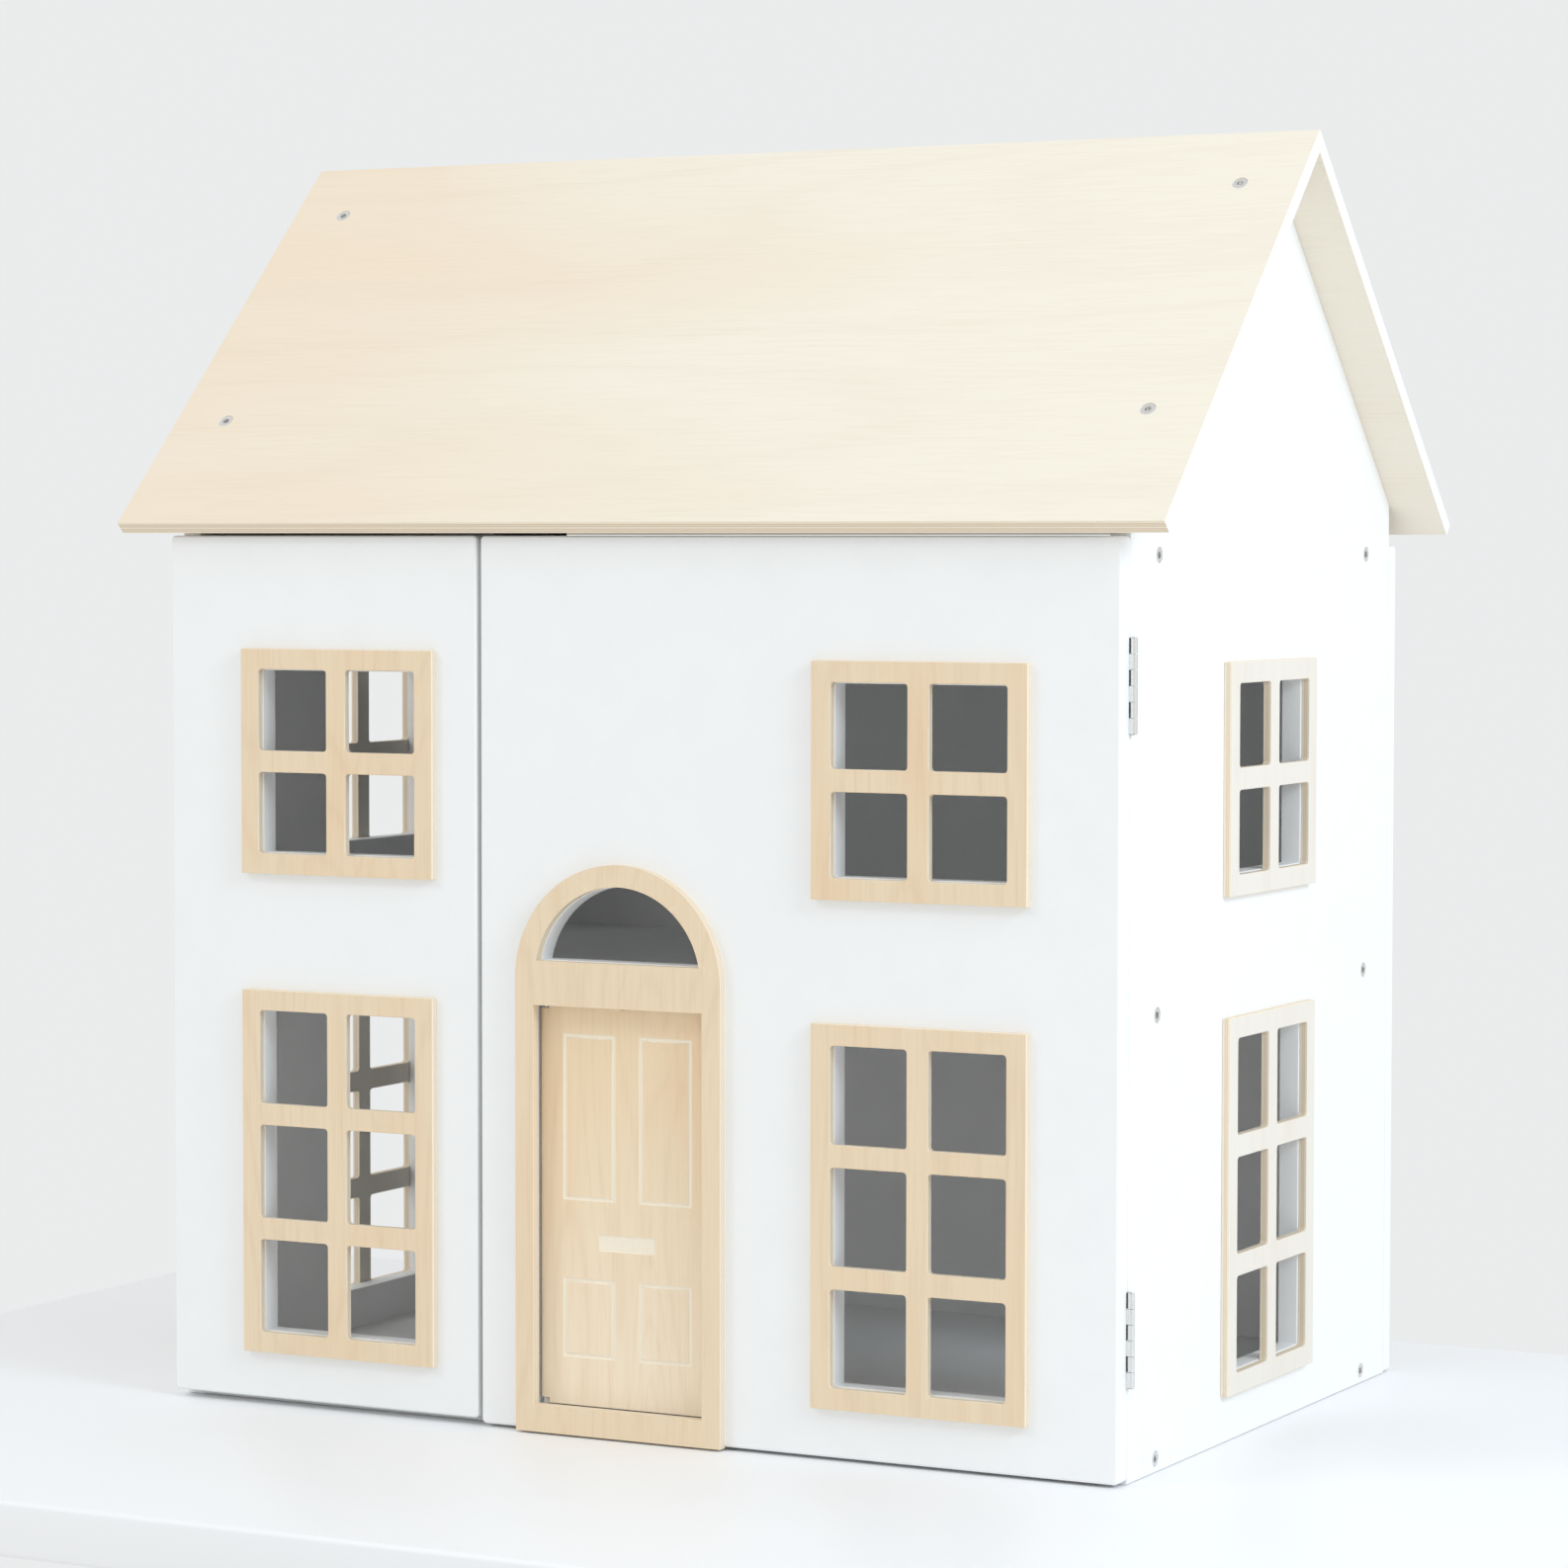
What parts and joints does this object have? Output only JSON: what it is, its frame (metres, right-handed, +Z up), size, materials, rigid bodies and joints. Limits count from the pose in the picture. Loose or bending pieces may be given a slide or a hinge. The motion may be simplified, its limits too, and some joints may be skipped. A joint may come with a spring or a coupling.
{
  "type": "wooden dollhouse",
  "caption": "Two-storey wooden dollhouse with a pitched plywood roof, a front that opens as two hinged panels, framed windows and an arched entrance with a swinging door.",
  "frame": {"origin": "on the surface that the house stands on, under the middle of its roof", "axes": "+Z up, -Y out of the front with the entrance, +X to the right when looking at the front"},
  "size_m": [0.659, 0.4366, 0.729],
  "materials": {
    "white_board": "matte white paint",
    "white_floor": "matte white paint",
    "roof_plywood": "clear satin lacquer",
    "trim_plywood": "clear satin lacquer",
    "door_plywood": "clear satin lacquer",
    "screw_steel": "zinc plated",
    "hinge_steel": "nickel plated",
    "catch_plastic": "matte",
    "magnet_steel": "plain"
  },
  "bodies": {
    "house": {"attic_floor": "white_floor", "back_panel": "white_board", "back_panel_screws": "screw_steel", "base_floor": "white_floor", "left_catch_housing": "catch_plastic", "left_catch_magnet": "magnet_steel", "left_hinge_pins": "hinge_steel", "left_side_lower_window": "trim_plywood", "left_side_upper_window": "trim_plywood", "left_side_wall": "white_board", "left_wall_hinge_leaves": "hinge_steel", "left_wall_hinge_screws": "screw_steel", "left_wall_screws": "screw_steel", "middle_floor": "white_floor", "right_catch_housing": "catch_plastic", "right_catch_magnet": "magnet_steel", "right_hinge_pins": "hinge_steel", "right_side_lower_window": "trim_plywood", "right_side_upper_window": "trim_plywood", "right_side_wall": "white_board", "right_wall_hinge_leaves": "hinge_steel", "right_wall_hinge_screws": "screw_steel", "right_wall_screws": "screw_steel", "roof_front_screws": "screw_steel", "roof_front_slope": "roof_plywood", "roof_rear_screws": "screw_steel", "roof_rear_slope": "roof_plywood"},
    "left_front": {"front_left_lower_window": "trim_plywood", "front_left_panel": "white_board", "front_left_upper_window": "trim_plywood", "left_panel_hinge_leaves": "hinge_steel", "left_panel_hinge_screws": "screw_steel", "left_strike_plate": "hinge_steel", "left_strike_screws": "screw_steel"},
    "right_front": {"entrance_door_stop": "trim_plywood", "entrance_frame": "trim_plywood", "entrance_pivot_pins": "hinge_steel", "front_right_lower_window": "trim_plywood", "front_right_panel": "white_board", "front_right_upper_window": "trim_plywood", "right_panel_hinge_leaves": "hinge_steel", "right_panel_hinge_screws": "screw_steel", "right_strike_plate": "hinge_steel", "right_strike_screws": "screw_steel"},
    "entrance_door": {"entrance_door": "door_plywood"}
  },
  "joints": [
    {"name": "left_front_swing", "type": "hinge", "parent": "house", "child": "left_front", "pos_m": [-0.3023, -0.1944, 0.25], "axis": [0, 0, -1], "range_deg": [0, 180]},
    {"name": "right_front_swing", "type": "hinge", "parent": "house", "child": "right_front", "pos_m": [0.3023, -0.1944, 0.25], "axis": [0, 0, 1], "range_deg": [0, 180]},
    {"name": "entrance_door_swing", "type": "hinge", "parent": "right_front", "child": "entrance_door", "pos_m": [-0.0533, -0.1978, 0.125], "axis": [0, 0, 1], "range_deg": [0, 100]}
  ]
}
